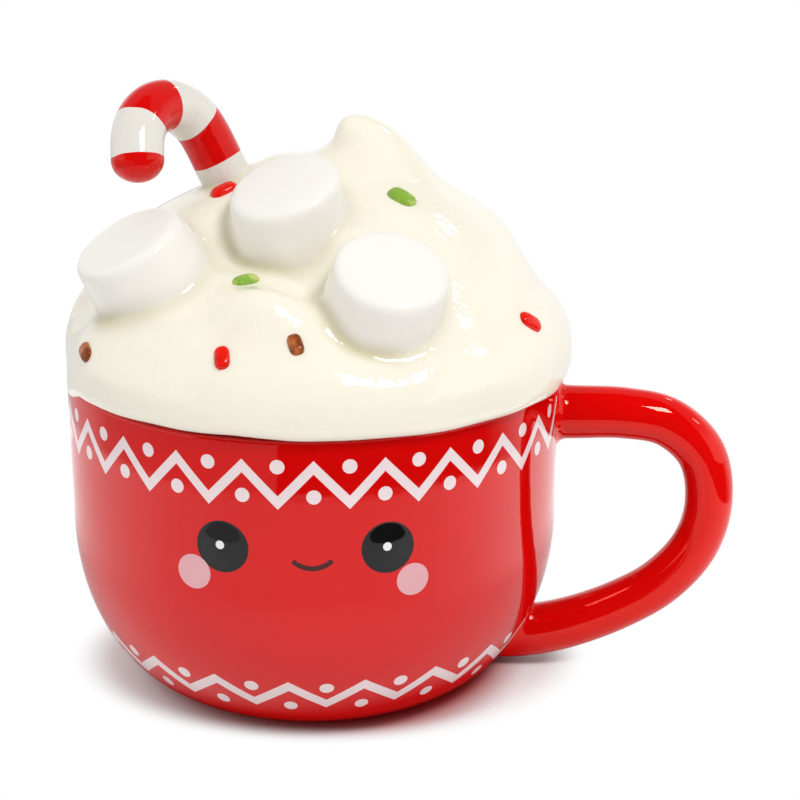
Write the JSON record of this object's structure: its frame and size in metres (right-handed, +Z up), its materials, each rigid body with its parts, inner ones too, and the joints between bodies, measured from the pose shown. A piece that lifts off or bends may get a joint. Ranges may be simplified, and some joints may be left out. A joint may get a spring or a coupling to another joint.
{
  "type": "lidded ceramic mug",
  "caption": "Round-bellied glazed mug with one loop handle and a domed lid moulded as whipped cream with marshmallows, a candy cane and sprinkles.",
  "frame": {"origin": "centre of the mug's flat base, on the body's axis", "axes": "+Z up the body's axis, +X out through the handle, -Y out through the painted face"},
  "size_m": [0.1513, 0.1154, 0.1359],
  "materials": {
    "red_glaze": "glossy",
    "black_glaze": "glossy",
    "cream_glaze": "glossy",
    "cane_glaze": "glossy, banded in red",
    "red_sprinkle": "glossy",
    "green_sprinkle": "glossy",
    "brown_sprinkle": "glossy"
  },
  "bodies": {
    "root": {"mug": "red_glaze", "lid": "cream_glaze"}
  },
  "joints": []
}
